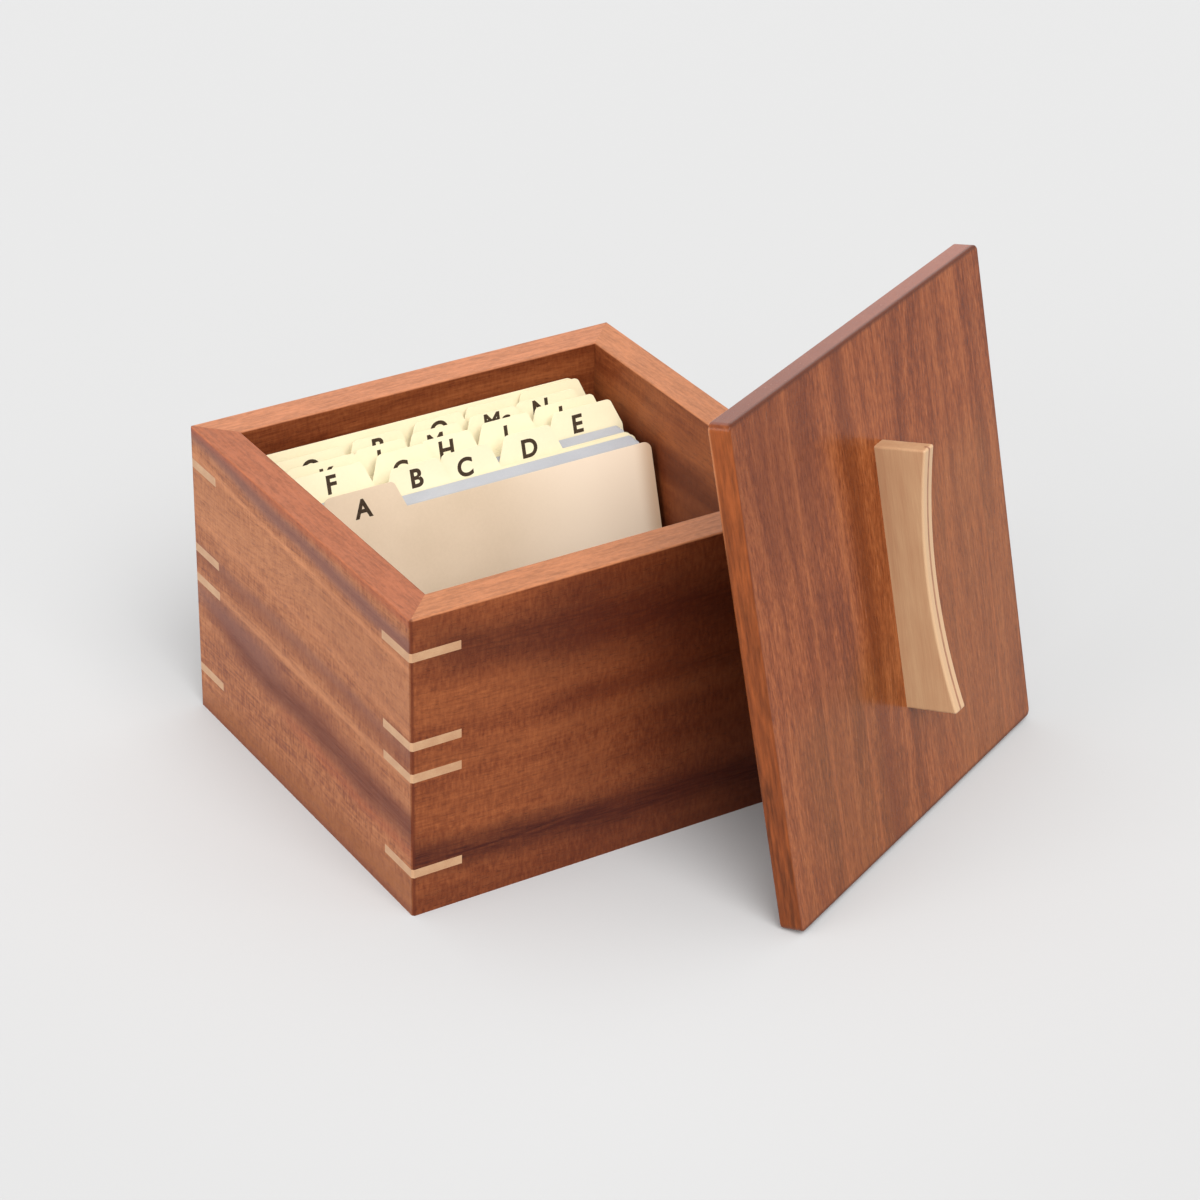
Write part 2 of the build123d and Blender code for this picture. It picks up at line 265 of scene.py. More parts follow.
class SheetSettings(PropertyGroup):
    """The card guides, their letters and the blank cards."""

    guide: colour("Guide", "Cream card of the guides", "e6dcbb")
    guide_cloud: colour("Guide, clouded", "Darker clouding of the cream card", "dfd4b2")
    front_guide: colour("Front guide", "Older, darker card of the first guide", "d5c0a6")
    front_cloud: colour("Front guide, clouded", "Darker clouding of the first guide", "cbb69b")
    # Painted light on the first guide towards its right edge, and painted shade along that edge
    front_painted_light: colour("Front guide, pale", "Less browned card towards its right edge", "f2e0c8")
    front_curl_shade: colour("Front guide, edge", "Browned card along its right edge", "bf9b78")
    # The blank cards' white card is given a grey that paints in the shade on their top edges
    blank: colour("Blank cards", "White card of the blank cards", "b4b4b6")
    blank_cloud: colour("Blank cards, clouded", "Darker clouding of the white card", "a7a9ae")
    ink: colour("Ink", "Printed letters", "33271b")
    letter_height: length("Letter height", "Height of a capital", 6.5)
    letter_weight: length("Letter weight", "How much the strokes are thickened at each side", 0.28)
    letter_middle: length("Letter middle", "From a guide's foot up to the middle of its letter", 80.7)
    ink_thickness: length("Ink thickness", "How far the print stands out of the card", 0.03)
    blank_guides: IntProperty(name="Blank guides", description="Rear ones left unprinted", default=2)
    tab_pitch: length("Tab pitch", "From one tab's middle to the next", 22.9)
    first_column_shift: length("First tab's shift", "How far its middle is left of that pitch", 3.0)


class LidSettings(PropertyGroup):
    """How the lid stands."""

    turn_from_front: turn("Lid turn", "How far the lid is turned from the front wall", 26.1)
    tilt_back: turn("Lid tilt", "How far the lid leans back from upright", 11.1)
    half_width: length("Half the lid's width", "From its middle line to its upright edges", 81.3)
    half_height: length("Half the lid's height", "From its middle to its top edge", 87.65)
    half_thickness: length("Half the lid's thickness", "From its middle to its face", 4)


class Finish:
    """One material, built a node at a time. Its patterns are measured in millimetres on a board."""

    def __init__(self, name, board=WHOLE_OBJECT, roughness=0.5, gloss=0.5):
        self.material = bpy.data.materials.new(name)
        self.material.use_nodes = True
        self.nodes = self.material.node_tree.nodes
        self.links = self.material.node_tree.links
        self.shader = self.nodes["Principled BSDF"]
        self.shader.inputs["Roughness"].default_value = roughness
        self.shader.inputs["Specular IOR Level"].default_value = gloss
        self.shown = None
        where = self.add("ShaderNodeTexCoord").outputs["Object"]
        placed = self.add("ShaderNodeMapping", where, vector_type="TEXTURE")
        placed.inputs["Location"].default_value = board.origin
        placed.inputs["Rotation"].default_value = board.turn
        placed.inputs["Scale"].default_value = (MM, MM, MM)
        self.place = placed.outputs["Vector"]
        split = self.add("ShaderNodeSeparateXYZ", self.place)
        self.x, self.y, self.z = split.outputs

    def add(self, kind, *values, **settings):
        """A new node, with its first inputs linked or set in order."""
        node = self.nodes.new(kind)
        for name, value in settings.items():
            setattr(node, name, value)
        for socket, value in zip(node.inputs, values):
            self.feed(socket, value)
        return node

    def feed(self, socket, value):
        """Links an output to a socket, or sets the socket to a plain value."""
        if isinstance(value, bpy.types.NodeSocket):
            self.links.new(value, socket)
        else:
            socket.default_value = value

    def sum(self, operation, *values, clamp=False):
        """One step of arithmetic."""
        return self.add("ShaderNodeMath", *values, operation=operation, use_clamp=clamp).outputs[0]

    def size(self, vector):
        """How long a vector is."""
        return self.add("ShaderNodeVectorMath", vector, operation="LENGTH").outputs["Value"]

    def shift(self, across):
        """The board's coordinates with the grain moved sideways by a pattern."""
        moved = self.add("ShaderNodeCombineXYZ", 0.0, across, across).outputs[0]
        return self.add("ShaderNodeVectorMath", self.place, moved, operation="ADD").outputs[0]

    def noise(self, repeats, detail=2.0, roughness=0.5, seed=0.0, place=None):
        """Soft noise, from 0 to 1, with so many features per millimetre along each direction."""
        scaled = self.add(
            "ShaderNodeVectorMath",
            place or self.place,
            repeats,
            tuple(seed * step for step in SEED_STEPS),
            operation="MULTIPLY_ADD",
        ).outputs[0]
        noise = self.add("ShaderNodeTexNoise", noise_dimensions="3D")
        self.feed(noise.inputs["Vector"], scaled)
        noise.inputs["Scale"].default_value = 1.0
        noise.inputs["Detail"].default_value = detail
        noise.inputs["Roughness"].default_value = roughness
        return self.span(noise.outputs[0], *NOISE_RANGE)

    def span(self, value, low, high, to_low=0.0, to_high=1.0, kind="LINEAR"):
        """A value stretched from one range to another, and held inside it."""
        node = self.add("ShaderNodeMapRange", value, low, high, to_low, to_high)
        node.interpolation_type = kind
        return node.outputs[0]

    def reaching(self, value, end, none, full=0.2, strength=1.0):
        """How near a value is to an end: nothing until none before it, and strength from full on."""
        return self.span(value, end - none, end - full, 0.0, strength)

    def fading(self, value, full, none, strength=1.0, kind="LINEAR"):
        """What falls as a value grows: strength as far as full, and nothing from none on."""
        return self.span(value, full, none, strength, 0.0, kind)

    def around(self, value, middle, full, none, strength=1.0, kind="LINEAR"):
        """How near a value is to a middle: strength within full of it, and nothing beyond none."""
        gap = self.sum("ABSOLUTE", self.sum("SUBTRACT", value, middle))
        return self.fading(gap, full, none, strength, kind)

    def ramp(self, factor, *stops):
        """A run of colours along a value."""
        node = self.add("ShaderNodeValToRGB", factor)
        node.color_ramp.interpolation = "B_SPLINE"
        while len(node.color_ramp.elements) < len(stops):
            node.color_ramp.elements.new(0.5)
        for element, (position, shade) in zip(node.color_ramp.elements, stops):
            element.position = position
            element.color = (*shade, 1)
        return node.outputs[0]

    def blend(self, factor, first, second, mode="MIX"):
        """Two colours mixed."""
        node = self.add("ShaderNodeMix", data_type="RGBA", blend_type=mode)
        self.feed(node.inputs[0], factor)
        for socket, value in zip((node.inputs[6], node.inputs[7]), (first, second)):
            self.feed(socket, (*value, 1) if isinstance(value, tuple) else value)
        return node.outputs[2]

    def streak(self, line, run, wobble):
        """How much of a streak lies at each point of a board that is run long."""
        along = self.span(self.x, 0.0, run, line.start, line.end)
        wavy = self.sum("MULTIPLY_ADD", wobble, line.reach * 0.5, along)
        near = self.around(self.y, wavy, 0.0, line.reach, line.strength, kind="SMOOTHSTEP")
        begun = self.span(self.x, line.first, line.first + STREAK_FADE, kind="SMOOTHSTEP")
        left = self.fading(self.x, line.last - STREAK_FADE, line.last, kind="SMOOTHSTEP")
        return self.sum("MULTIPLY", self.sum("MULTIPLY", near, begun), left)

    def relief(self, height, depth, strength):
        """Fine relief that only the light shows."""
        node = self.add("ShaderNodeBump")
        node.inputs["Strength"].default_value = strength
        node.inputs["Distance"].default_value = depth * MM
        self.feed(node.inputs["Height"], height)
        self.feed(self.shader.inputs["Normal"], node.outputs[0])

    def paint(self, shade):
        """Gives the material its colour."""
        self.shown = shade
        self.feed(self.shader.inputs["Base Color"], shade)

    def cover(self, amount, shade, mode="MIX"):
        """Lays a colour over the one that is shown so far."""
        self.paint(self.blend(amount, self.shown, shade, mode))


def wear(finish, *nodes):
    """Gives a finish to parts that are carried over."""
    for node in nodes:
        for slot in frame["nodes"][node].material_slots:
            slot.material = finish.material


def hardwood(name, board, tones, run, streaks=(), seed=0.0, figure=Figure(), gloss=0.15, rough=0.4):
    """Ribbon-figured red-brown hardwood: drifting ribbons, streaks, fine fibres, fleck and pores."""
    wood = Finish(name, board, roughness=rough, gloss=gloss)
    drift = wood.noise((0.008, 0.02, 0.02), detail=1.0, seed=seed)
    grain = wood.shift(wood.span(drift, 0, 1, -GRAIN_WANDER, GRAIN_WANDER))
    fibres = wood.noise((0.07, 1.1, 1.1), detail=3.0, roughness=0.6, seed=seed + 7, place=grain)
    layers = (
        (figure.ribbon, wood.noise((0.005, 0.13, 0.13), seed=seed + 3, place=grain)),
        (figure.patch, wood.noise((0.02, 0.06, 0.06), seed=seed + 5)),
        (figure.fibre, fibres),
        (figure.fleck, wood.noise(figure.fleck_repeats, detail=3.0, roughness=0.6, seed=seed + 11)),
    )
    shade = 0.5
    for amount, layer in layers:
        shade = wood.sum("MULTIPLY_ADD", wood.sum("SUBTRACT", layer, 0.5), amount, shade)
    dark, middle, light = tones
    wood.paint(wood.ramp(shade, (0.1, dark), (0.5, middle), (0.9, light)))
    wobble = wood.sum("SUBTRACT", wood.noise((0.02, 0.05, 0.05), seed=seed + 17), 0.5)
    patchy = wood.span(fibres, 0.1, 0.9, 0.65, 1.1)
    for line in streaks:
        here = wood.sum("MULTIPLY", wood.streak(line, run, wobble), patchy, clamp=True)
        wood.cover(here, line.shade)
    pores = wood.noise((0.3, 4.2, 4.2), detail=1.0, seed=seed + 13, place=grain)
    open_pores = wood.span(pores, 0.78, 0.95)
    wood.cover(wood.sum("MULTIPLY", open_pores, 0.35), dark, "MULTIPLY")
    wood.feed(wood.shader.inputs["Roughness"], wood.span(fibres, 0, 1, rough - 0.05, rough + 0.08))
    height = wood.sum("SUBTRACT", wood.sum("MULTIPLY", fibres, 0.35), open_pores)
    wood.relief(height, depth=0.04, strength=0.5)
    return wood


def edge_wood(wood, height, rim, run, dark):
    """Shows a wall's top edge, paler than its faces, and painted shade on the eased corners at its
    mitres.
    """
    fibres = wood.noise((0.09, 0.9, 0.9), detail=3.0, roughness=0.65, seed=51.0)
    fleck = wood.noise((0.5, 1.2, 1.2), seed=57.0)
    grain = wood.sum("MULTIPLY_ADD", fleck, 0.35, wood.sum("MULTIPLY", fibres, 0.65))
    edge = wood.ramp(grain, (0.15, dimmed(rim, 0.72)), (0.5, rim), (0.85, dimmed(rim, 1.2)))
    wood.cover(wood.reaching(wood.y, height, none=0.7), edge)
    # Painted shade on the eased corners where the walls meet
    for mitre in (0, run):
        wood.cover(wood.around(wood.x, mitre, full=0.4, none=1.1, strength=0.7), dark)


def maple(name, board, seed=0.0, dim=1.0):
    """Pale close-grained wood with faint lines and a little warm variation."""
    looks = bpy.context.scene.card_box_wood
    wood = Finish(name, board, roughness=0.38, gloss=looks.pale_gloss)
    bands = wood.noise((0.012, 0.35, 0.35), seed=seed)
    fibres = wood.noise((0.12, 3.0, 3.0), seed=seed + 2)
    clouds = wood.noise((0.05, 0.09, 0.09), detail=1.0, seed=seed + 4)
    shade = wood.sum("MULTIPLY_ADD", fibres, 0.35, wood.sum("MULTIPLY", bands, 0.4))
    shade = wood.sum("MULTIPLY_ADD", clouds, 0.35, shade, clamp=True)
    dark, light = dimmed(looks.maple_dark, dim), dimmed(looks.maple_light, dim)
    wood.paint(wood.ramp(shade, (0.1, dark), (0.85, light)))
    wood.relief(fibres, depth=0.02, strength=0.4)
    return wood


def card_stock(name, shade, clouded, seed):
    """Smooth card with faint fibres and clouding."""
    stock = Finish(name, roughness=0.62, gloss=0.3)
    fibres = stock.noise((0.9, 0.9, 0.9), detail=3.0, roughness=0.7, seed=seed)
    clouds = stock.noise((0.05, 0.05, 0.05), seed=seed + 3)
    mixed = stock.sum("MULTIPLY_ADD", fibres, 0.35, stock.sum("MULTIPLY", clouds, 0.55))
    stock.paint(stock.blend(mixed, shade, clouded))
    stock.relief(fibres, depth=0.015, strength=0.3)
    return stock


def lay_floor(scene, stage):
    """The pale floor, with painted light around the box that lifts the shade near it."""
    floor = bmesh.new()
    bmesh.ops.create_grid(floor, x_segments=1, y_segments=1, size=stage.floor_size / 2)
    mesh = bpy.data.meshes.new("floor")
    floor.to_mesh(mesh)
    floor.free()
    ground = bpy.data.objects.new("floor", mesh)
    scene.collection.objects.link(ground)
    paper = Finish("floor_paper", Board(stage.painted_light_middle, UNTURNED), roughness=0.9, gloss=0.1)
    rings = stage.painted_light_reach / MM, stage.painted_light_end / MM
    # Painted light: the floor is paler near the box
    painted_light = paper.fading(paper.size(paper.place), *rings, kind="SMOOTHSTEP")
    paper.paint(paper.blend(painted_light, stage.floor_tone[:], stage.floor_painted_light[:]))
    mesh.materials.append(paper.material)


def light_stage(scene, stage):
    """An even sky and two soft lights."""
    world = bpy.data.worlds.new("studio")
    world.use_nodes = True
    sky = world.node_tree.nodes["Background"]
    sky.inputs["Color"].default_value = (1, 1, 1, 1)
    sky.inputs["Strength"].default_value = stage.sky_strength
    scene.world = world
    for name in ("key", "side"):
        lamp = bpy.data.lights.new(f"{name}_light", "SUN")
        lamp.energy = getattr(stage, f"{name}_strength")
        lamp.angle = stage.softness
        light = bpy.data.objects.new(f"{name}_light", lamp)
        scene.collection.objects.link(light)
        height, heading = getattr(stage, f"{name}_height"), getattr(stage, f"{name}_heading")
        level = Vector((-math.cos(heading), -math.sin(heading), 0)) * math.cos(height)
        towards = level + Vector((0, 0, math.sin(height)))
        light.rotation_euler = towards.to_track_quat("Z", "Y").to_euler()


def set_camera(scene, stage):
    """The camera at the place and heading that the settings give."""
    view = bpy.data.cameras.new("camera")
    view.lens = stage.camera_lens
    view.sensor_width = SENSOR_WIDTH
    view.clip_end = VIEW_END
    camera = bpy.data.objects.new("camera", view)
    scene.collection.objects.link(camera)
    camera.location = stage.camera_place
    look = Euler((stage.camera_tilt, 0, stage.camera_heading)).to_matrix()
    camera.rotation_euler = (look @ Matrix.Rotation(stage.camera_roll, 3, "Z")).to_euler()
    scene.camera = camera


class CARDBOX_OT_stage(Operator):
    """Lay the pale floor, light it softly and set up the camera"""

    bl_idname = "cardbox.stage"
    bl_label = "Stage"

    def execute(self, context):
        scene = context.scene
        scene.view_settings.view_transform = "Standard"
        for step in (lay_floor, light_stage, set_camera):
            step(scene, scene.card_box_stage)
        return {"FINISHED"}


def wall_boards(right, depth):
    """Each wall's board coordinates, from its lower left corner as it is seen from outside."""
    upright = math.radians(90)
    return {
        "front_wall": Board((-right, 0, 0), (upright, 0, 0)),
        "right_wall": Board((right, 0, 0), (upright, 0, upright)),
        "back_wall": Board((right, depth, 0), (upright, 0, 2 * upright)),
        "left_wall": Board((-right, depth, 0), (upright, 0, -upright)),
    }


def wall_streaks(looks):
    """Each wall's streaks, in the order that they are laid over one another."""
    deep, dark, middle, light = (
        shade[:] for shade in (looks.wall_deep, looks.wall_dark, looks.wall_middle, looks.wall_light)
    )
    grey, red, brown, pale = (
        shade[:] for shade in (looks.side_grey, looks.side_red, looks.side_brown, looks.pale_lines_and_highlight)
    )
    side_dark, side_light = looks.side_dark[:], looks.side_light[:]
    return {
        "front_wall": (
            Streak(76, 72, 12, light, 0.3, last=105),
            Streak(55, 53, 7, light, 0.3, last=120),
            Streak(40, 34, 10, light, 0.2, last=90),
            Streak(107, 106, 5, middle, 0.3, last=120),
            Streak(96, 86, 17, deep, 0.75, first=-10),
            Streak(86, 79, 15, deep, 0.5, first=20),
            Streak(66, 62, 8, dark, 0.6, first=35),
            Streak(21, 12.5, 13, deep, 1.0),
            Streak(4, 2, 8, dark, 0.45),
            # Painted shade from the leaning lid, darkening the wall's right end
            Streak(50, 40, 140, deep, 0.33, first=38),
            Streak(50, 40, 140, deep, 0.42, first=70),
        ),
        "left_wall": (
            Streak(87, 80, 20, side_light, 0.55),
            Streak(99, 91, 2.2, pale, 0.5),
            Streak(77, 69, 3.5, pale, 0.35),
            Streak(107.5, 98.5, 6, grey, 0.95),
            Streak(107.5, 98.5, 3, side_dark, 0.4),
            Streak(109, 109, 4, red, 0.55),
            Streak(63, 58.5, 7, side_dark, 0.6),
            Streak(65, 61, 4, grey, 0.3),
            Streak(53, 50.5, 3.5, side_light, 0.6),
            Streak(52.5, 50, 1.5, pale, 0.3),
            Streak(43.5, 33, 13, side_dark, 1.0, first=-5),
            Streak(42, 33, 7, dimmed(side_dark, 0.75), 0.6, first=15),
            Streak(46, 44, 8, grey, 0.5, last=75),
            Streak(33, 23, 5, red, 0.35, first=50),
            Streak(4, 7, 13, brown, 0.75, first=-15),
            Streak(0, 1, 4, side_dark, 0.7),
            Streak(74, 74, 35, side_dark, 0.16, first=80),
        ),
        "right_wall": (
            Streak(96, 92, 10, light, 0.6),
            Streak(84, 80, 8, dark, 0.6),
            # Painted shade over most of the wall's height, where the lid keeps light from its inside
            Streak(50, 50, 45, deep, 0.6),
        ),
        "back_wall": (Streak(78, 88, 7, dark, 0.6), Streak(22, 30, 10, dark, 0.7)),
    }


class CARDBOX_OT_walls(Operator):
    """Finish the four walls, each with the grain along it, and the bottom panel"""

    bl_idname = "cardbox.walls"
    bl_label = "Walls"

    def execute(self, context):
        looks = context.scene.card_box_wood
        front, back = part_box("front_wall")[1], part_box("back_wall")[1]
        right, depth, height = front.x, back.y, front.z / MM
        long_run, short_run = 2 * right / MM, depth / MM
        usual = looks.wall_dark[:], looks.wall_middle[:], looks.wall_light[:]
        tones = {"left_wall": (looks.side_dark[:], looks.side_middle[:], looks.side_light[:])}
        rims = {"left_wall": looks.rim_left[:], "back_wall": looks.rim_back[:]}
        streaks = wall_streaks(looks)
        for index, (name, board) in enumerate(wall_boards(right, depth).items()):
            run = long_run if name in ("front_wall", "back_wall") else short_run
            wood = hardwood(
                f"hardwood_{name}",
                board,
                tones.get(name, usual),
                run,
                streaks[name],
                seed=20.0 + 9 * index,
                figure=FIGURES.get(name, Figure()),
            )
            edge_wood(wood, height, rims.get(name, looks.rim[:]), run, looks.wall_dark[:])
            wear(wood, name)
        bottom = Board((0, depth / 2, 0), UNTURNED)
        wear(hardwood("hardwood_bottom", bottom, usual, long_run, seed=71.0), "bottom_panel")
        return {"FINISHED"}


class CARDBOX_OT_keys(Operator):
    """Finish the pale keys across the corners"""

    bl_idname = "cardbox.keys"
    bl_label = "Corner keys"

    def execute(self, context):
        for index, (name, slope) in enumerate(KEYS.items()):
            board = Board((0, 0, 0), (0, 0, math.radians(slope)))
            wear(maple(f"pale_wood_{name}", board, seed=4.0 * index, dim=KEY_SHADE), name)
        return {"FINISHED"}


def lid_directions():
    """The leaning lid's own directions: up along it, across it to the left, and out of its face."""
    stand = bpy.context.scene.card_box_lid
    heading, tilt = stand.turn_from_front, stand.tilt_back
    across = Vector((math.cos(heading), math.sin(heading), 0))
    level = math.cos(tilt)
    out = Vector((math.sin(heading) * level, -math.cos(heading) * level, math.sin(tilt)))
    up = out.cross(across)
    return Matrix((up, -across, out)).transposed()


def lid_board():
    """The board coordinates of the lid, measured from the middle of its panel."""
    low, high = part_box("lid_panel")
    return Board((low + high) / 2, lid_directions().to_euler())


def lid_streaks(looks):
    """The lid's streaks: three broad ones, then thin lines over its whole height."""
    dark, light = looks.lid_dark[:], looks.lid_light[:]
    thin_lines = (
        (49, 50, 1.6, light, 0.55),
        (43, 44, 5, dark, 0.3),
        (26, 26, 1.6, light, 0.5),
        (16, 15, 7, dark, 0.6),
        (66, 66, 4, dark, 0.2),
        (-20, -20, 6, dark, 0.25),
        (-40, -41, 1.8, light, 0.4),
        (-47, -47, 5, dark, 0.25),
        (-64, -60, 1.8, light, 0.5),
        (-72, -70, 5, dark, 0.25),
    )
    return (
        Streak(-50, -50, 75, looks.lid_pale[:], 0.45, LID_START, 45),
        Streak(60, 60, 45, dark, 0.42, first=15),
        Streak(40, 40, 60, looks.lid_brown[:], 0.3, -150, -5),
        *(Streak(*line, first=LID_START) for line in thin_lines),
    )


def lid_edges(panel, looks, stand):
    """Shows the lid's upright edges, with a ragged dark arris in front and a painted highlight behind.
    """
    edge, back = stand.half_width / MM, -stand.half_thickness / MM
    aside = panel.sum("ABSOLUTE", panel.y)
    at_edge = panel.reaching(aside, edge, none=0.6)
    waves = panel.noise((0.07, 0.5, 0.7), detail=3.0, roughness=0.65, seed=163.0)
    mottled = panel.sum("MULTIPLY_ADD", waves, 1.1, -0.3)
    height = panel.span(panel.x, -edge, edge)
    paleness = panel.sum("MULTIPLY_ADD", height, 0.6, mottled, clamp=True)
    grain = panel.blend(paleness, dimmed(looks.lid_edge, 0.4), dimmed(looks.lid_edge, 1.32))
    panel.cover(at_edge, grain)
    ragged = panel.span(panel.noise((0.1, 0.3, 0.3), seed=167.0), 0.2, 0.8, 0.3, 1)
    arris = panel.around(aside, edge - 0.5, full=0.1, none=0.9, strength=0.75)
    panel.cover(panel.sum("MULTIPLY", arris, ragged), looks.lid_dark[:])
    # A painted highlight on the rear arris, over the upper part of the edge
    behind = panel.around(panel.z, back, full=0.3, none=1.1, strength=0.6)
    lit = panel.sum("MULTIPLY", behind, panel.span(panel.x, *HIGHLIGHT_STRETCH))
    panel.cover(panel.sum("MULTIPLY", lit, at_edge), looks.pale_lines_and_highlight[:])


def lid_ends(panel, looks, stand):
    """Shows the end grain along the lid's top edge, and its dark lines where the ends meet the face."""
    edge, top, face = stand.half_width / MM, stand.half_height / MM, stand.half_thickness / MM
    dull, bright = dimmed(looks.lid_top, 0.8), dimmed(looks.lid_top, 1.25)
    end_grain = panel.blend(panel.span(panel.y, edge, -edge), dull, bright)
    panel.cover(panel.reaching(panel.x, top, none=0.5, strength=0.85), end_grain)
    over = panel.sum("SUBTRACT", panel.sum("ABSOLUTE", panel.x), top)
    inward = panel.sum("SUBTRACT", panel.z, face)
    gap = panel.size(panel.add("ShaderNodeCombineXYZ", over, inward, 0.0).outputs[0])
    panel.cover(panel.fading(gap, full=0.6, none=1.8, strength=0.85), dimmed(looks.lid_dark, 0.7))


class CARDBOX_OT_lid(Operator):
    """Finish the lid's panel and the insert under it"""

    bl_idname = "cardbox.lid"
    bl_label = "Lid"

    def execute(self, context):
        looks = context.scene.card_box_wood
        stand = context.scene.card_box_lid
        board = lid_board()
        tones = looks.lid_dark[:], looks.lid_middle[:], looks.lid_light[:]
        panel = hardwood(
            "hardwood_lid",
            board,
            tones,
            LID_RUN,
            lid_streaks(looks),
            seed=140.0,
            figure=FIGURES["lid_panel"],
            gloss=looks.lid_gloss,
            rough=0.2,
        )
        lid_edges(panel, looks, stand)
        lid_ends(panel, looks, stand)
        wear(panel, "lid_panel")
        wear(hardwood("hardwood_insert", board, tones, LID_RUN, seed=171.0), "lid_insert")
        return {"FINISHED"}


class CARDBOX_OT_handle(Operator):
    """Finish the handle, the dark line let into it and its screws"""

    bl_idname = "cardbox.handle"
    bl_label = "Handle"

    def execute(self, context):
        looks = context.scene.card_box_wood
        wood = maple("pale_wood_handle", lid_board(), seed=31.0)
        from_middle = wood.sum("MULTIPLY", wood.x, wood.x)
        hollow = wood.sum("MULTIPLY_ADD", from_middle, HOLLOW_RISE, HOLLOW_LOWEST)
        above = wood.sum("SUBTRACT", wood.z, hollow)
        # Paler wood on the hollow side, and a painted highlight along its eased edges
        wood.cover(wood.reaching(above, 0, none=0.9, full=0.3, strength=0.85), looks.handle_outer_and_highlight[:])
        wear(wood, "handle")
        strip = Finish("dark_line_wood", lid_board(), roughness=0.5)
        specks = strip.noise((0.2, 2.5, 2.5), seed=6.0)
        strip.paint(strip.blend(specks, looks.line[:], dimmed(looks.line, 0.6)))
        wear(strip, "handle_line")
        brass = Finish("brass", lid_board(), roughness=0.32)
        brass.shader.inputs["Metallic"].default_value = 1.0
        scuffs = brass.noise((0.8, 0.8, 0.8), detail=4.0, seed=2.0)
        brass.paint(brass.blend(scuffs, looks.brass[:], looks.brass_dull[:]))
        brass.relief(scuffs, depth=0.01, strength=0.3)
        wear(brass, "handle_screws")
        return {"FINISHED"}


class CARDBOX_OT_guides(Operator):
    """Finish the card guides"""

    bl_idname = "cardbox.guides"
    bl_label = "Card guides"

    def execute(self, context):
        looks = context.scene.card_box_sheets
        cream = card_stock("cream_card", looks.guide[:], looks.guide_cloud[:], seed=2.0)
        wear(cream, *GUIDES, "rear_divider")
        beige = card_stock("beige_card", looks.front_guide[:], looks.front_cloud[:], seed=5.0)
        # Painted light over the card towards its right edge, then painted shade along that edge
        paler = beige.span(beige.x, *PAINTED_LIGHT_STRETCH, 0, 0.85, kind="SMOOTHSTEP")
        beige.cover(paler, looks.front_painted_light[:])
        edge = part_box("guide_a")[1].x / MM
        curl_shade = beige.span(beige.x, edge - SHADED_EDGE_WIDTH, edge, 0, 0.7, kind="SMOOTHSTEP")
        beige.cover(curl_shade, looks.front_curl_shade[:])
        wear(beige, "guide_a")
        return {"FINISHED"}


def sheet_directions(guide):
    """A guide's foot in the middle of its front face, its direction up and the way its front faces."""
    joint = next(joint for joint in frame["joints"] if joint["child"] == guide)
    up = Vector(joint["axis"]).normalized()
    out = Vector((1, 0, 0)).cross(up)
    low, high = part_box(guide)
    foot = Vector(((low.x + high.x) / 2, low.y, low.z))
    return foot, up, out


def letter_place(guide, index, looks):
    """Where the middle of a guide's letter comes on its tab, and how it is turned."""
    foot, up, out = sheet_directions(guide)
    aside = (index % TABS_IN_ROW - (TABS_IN_ROW - 1) / 2) * looks.tab_pitch
    if index % TABS_IN_ROW == 0:
        aside -= looks.first_column_shift
    right, higher = NUDGES.get(guide.removeprefix("guide_"), (0, 0))
    aside += right * MM
    spot = Matrix((Vector((1, 0, 0)), up, out)).transposed().to_4x4()
    spot.translation = foot + Vector((aside, 0, 0)) + up * (looks.letter_middle + higher * MM)
    return spot


def letter_mesh(letter, looks):
    """A letter's mesh as the font draws it, lying flat, and with a little thickness."""
    text = bpy.data.curves.new(f"letter_{letter}", "FONT")
    text.body = letter.capitalize()
    text.size = looks.letter_height * FONT_SIZE
    text.offset = looks.letter_weight
    text.extrude = looks.ink_thickness
    text.align_x, text.align_y = "CENTER", "CENTER"
    text.resolution_u = CURVE_STEPS
    sample = bpy.data.objects.new("sample", text)
    mesh = bpy.data.meshes.new_from_object(sample)
    bpy.data.objects.remove(sample)
    return mesh


def stand_up(mesh, spot):
    """Puts a flat letter's middle on its place, upright, with its faces outwards."""
    shape = bmesh.new()
    shape.from_mesh(mesh)
    bmesh.ops.remove_doubles(shape, verts=shape.verts, dist=MERGE_DISTANCE)
    along = [corner.co.x for corner in shape.verts]
    upward = [corner.co.y for corner in shape.verts]
    middle = Vector(((min(along) + max(along)) / 2, (min(upward) + max(upward)) / 2, 0))
    bmesh.ops.translate(shape, verts=shape.verts, vec=-middle)
    bmesh.ops.transform(shape, matrix=spot, verts=shape.verts)
    bmesh.ops.recalc_face_normals(shape, faces=shape.faces)
    shape.to_mesh(mesh)
    shape.free()


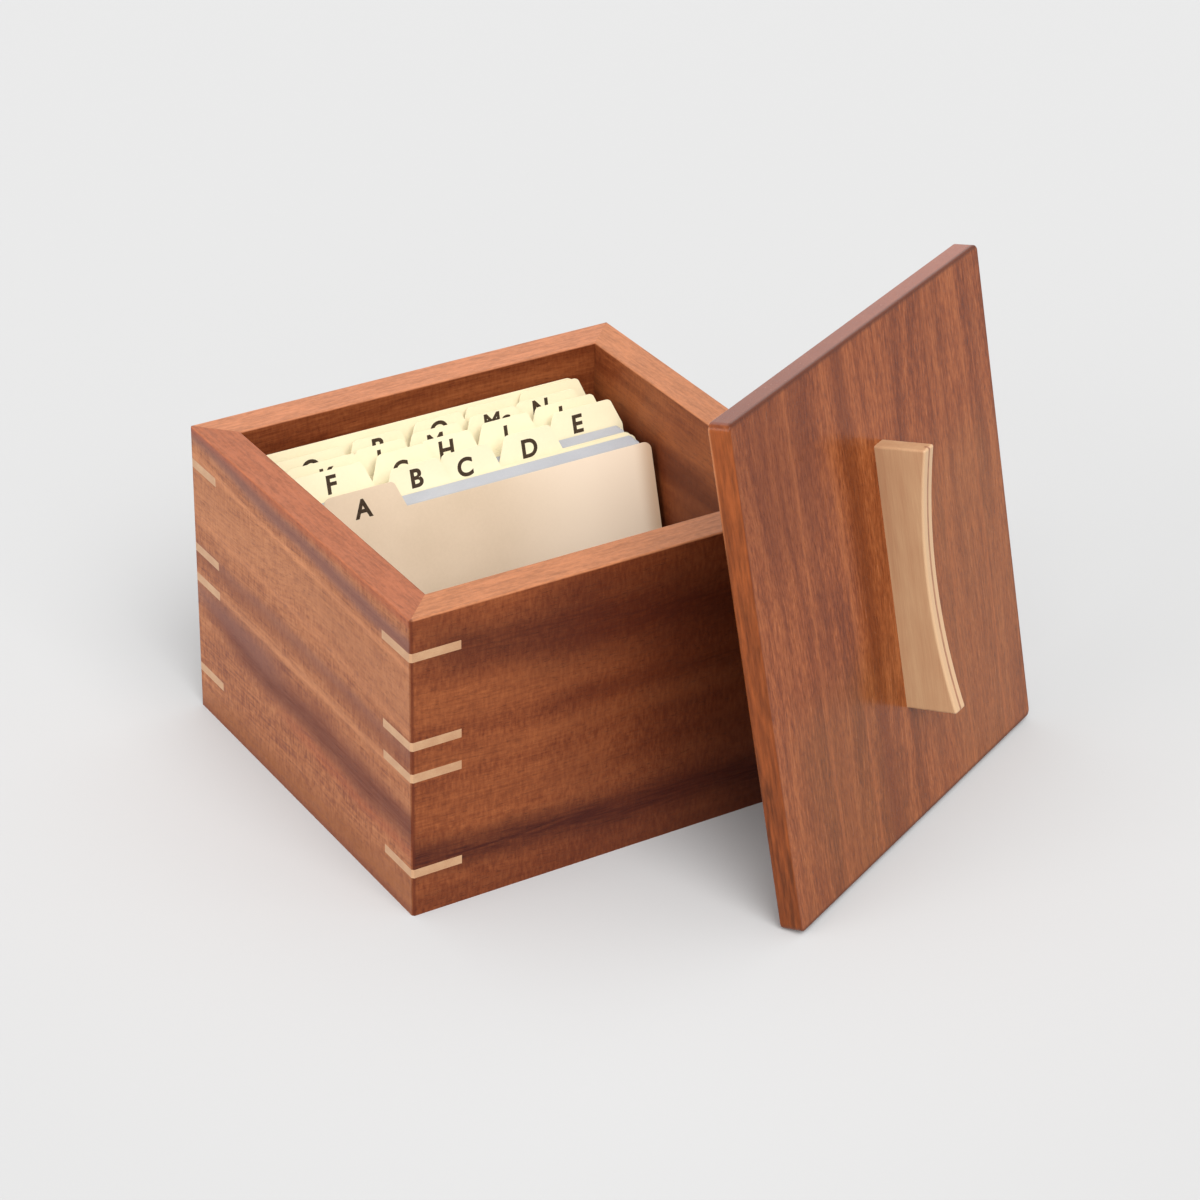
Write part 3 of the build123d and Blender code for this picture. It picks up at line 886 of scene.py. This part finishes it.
class CARDBOX_OT_letters(Operator):
    """Print the letter on the tab of each card guide but the blank rear ones"""

    bl_idname = "cardbox.letters"
    bl_label = "Index letters"

    def execute(self, context):
        looks = context.scene.card_box_sheets
        ink = Finish("ink", roughness=0.7, gloss=0.2)
        blots = ink.noise((1.5, 1.5, 1.5), seed=1.0)
        ink.paint(ink.blend(blots, looks.ink[:], dimmed(looks.ink, 1.6)))
        order = sorted(GUIDES, key=lambda name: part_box(name)[0].y)
        printed = order[: len(order) - looks.blank_guides]
        for index, guide in enumerate(printed):
            letter = guide.removeprefix("guide_")
            mesh = letter_mesh(letter, looks)
            stand_up(mesh, letter_place(guide, index, looks))
            mesh.materials.clear()
            mesh.materials.append(ink.material)
            piece = bpy.data.objects.new(f"letter_{letter}", mesh)
            context.scene.collection.objects.link(piece)
            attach(piece, guide)
        return {"FINISHED"}


class CARDBOX_OT_cards(Operator):
    """Finish the two bundles of blank cards"""

    bl_idname = "cardbox.cards"
    bl_label = "Blank cards"

    def execute(self, context):
        looks = context.scene.card_box_sheets
        # White card, painted grey for the shade on the cards' top edges
        wear(card_stock("white_card", looks.blank[:], looks.blank_cloud[:], seed=9.0), *BUNDLES)
        return {"FINISHED"}


OPERATORS = (
    CARDBOX_OT_stage,
    CARDBOX_OT_walls,
    CARDBOX_OT_keys,
    CARDBOX_OT_lid,
    CARDBOX_OT_handle,
    CARDBOX_OT_guides,
    CARDBOX_OT_letters,
    CARDBOX_OT_cards,
)
SETTINGS = {
    "card_box_stage": StageSettings,
    "card_box_wood": WoodSettings,
    "card_box_sheets": SheetSettings,
    "card_box_lid": LidSettings,
}


class CARDBOX_PT_panel(Panel):
    """The box's settings and steps, in the 3D view's sidebar"""

    bl_idname = "CARDBOX_PT_panel"
    bl_label = "Index card box"
    bl_space_type = "VIEW_3D"
    bl_region_type = "UI"
    bl_category = "Card Box"

    def draw(self, context):
        for name, group in SETTINGS.items():
            part = self.layout.box()
            for setting in group.__annotations__:
                part.prop(getattr(context.scene, name), setting)
        for step in OPERATORS:
            self.layout.operator(step.bl_idname)


CLASSES = (*SETTINGS.values(), *OPERATORS, CARDBOX_PT_panel)


def register():
    """Adds the settings, the steps and the panel to Blender."""
    for item in CLASSES:
        bpy.utils.register_class(item)
    for name, group in SETTINGS.items():
        setattr(bpy.types.Scene, name, PointerProperty(type=group))


def unregister():
    """Takes them out again."""
    for name in SETTINGS:
        delattr(bpy.types.Scene, name)
    for item in reversed(CLASSES):
        bpy.utils.unregister_class(item)


def main():
    """Dresses the whole box."""
    register()
    for step in OPERATORS:
        operator = getattr(bpy.ops.cardbox, step.bl_idname.split(".")[1])
        if operator() != {"FINISHED"}:
            raise RuntimeError(f"{step.bl_label} did not finish")


if __name__ == "__main__":
    main()
